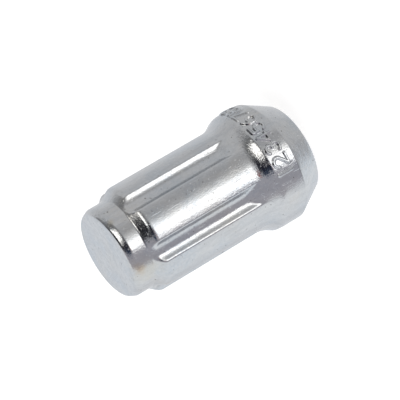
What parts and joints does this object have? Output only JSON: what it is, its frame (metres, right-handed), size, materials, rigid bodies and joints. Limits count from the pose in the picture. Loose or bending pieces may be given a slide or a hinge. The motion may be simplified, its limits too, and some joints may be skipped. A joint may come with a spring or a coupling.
{
  "type": "lug nut",
  "caption": "Closed-end lug nut with a conical seat, a collar, a fluted body for a spline key, and a threaded blind stud hole.",
  "frame": {"origin": "centre of the open end's flat face, which the nut stands on", "axes": "+Z along the nut's axis from the open seat end to the closed nose; the land between two flutes that has the raised numbers on the collar below it faces -Y"},
  "size_m": [0.02, 0.02, 0.035],
  "materials": {
    "plated_steel": "bright plating, lightly handled"
  },
  "bodies": {
    "root": {"lug_nut": "plated_steel"}
  },
  "joints": []
}
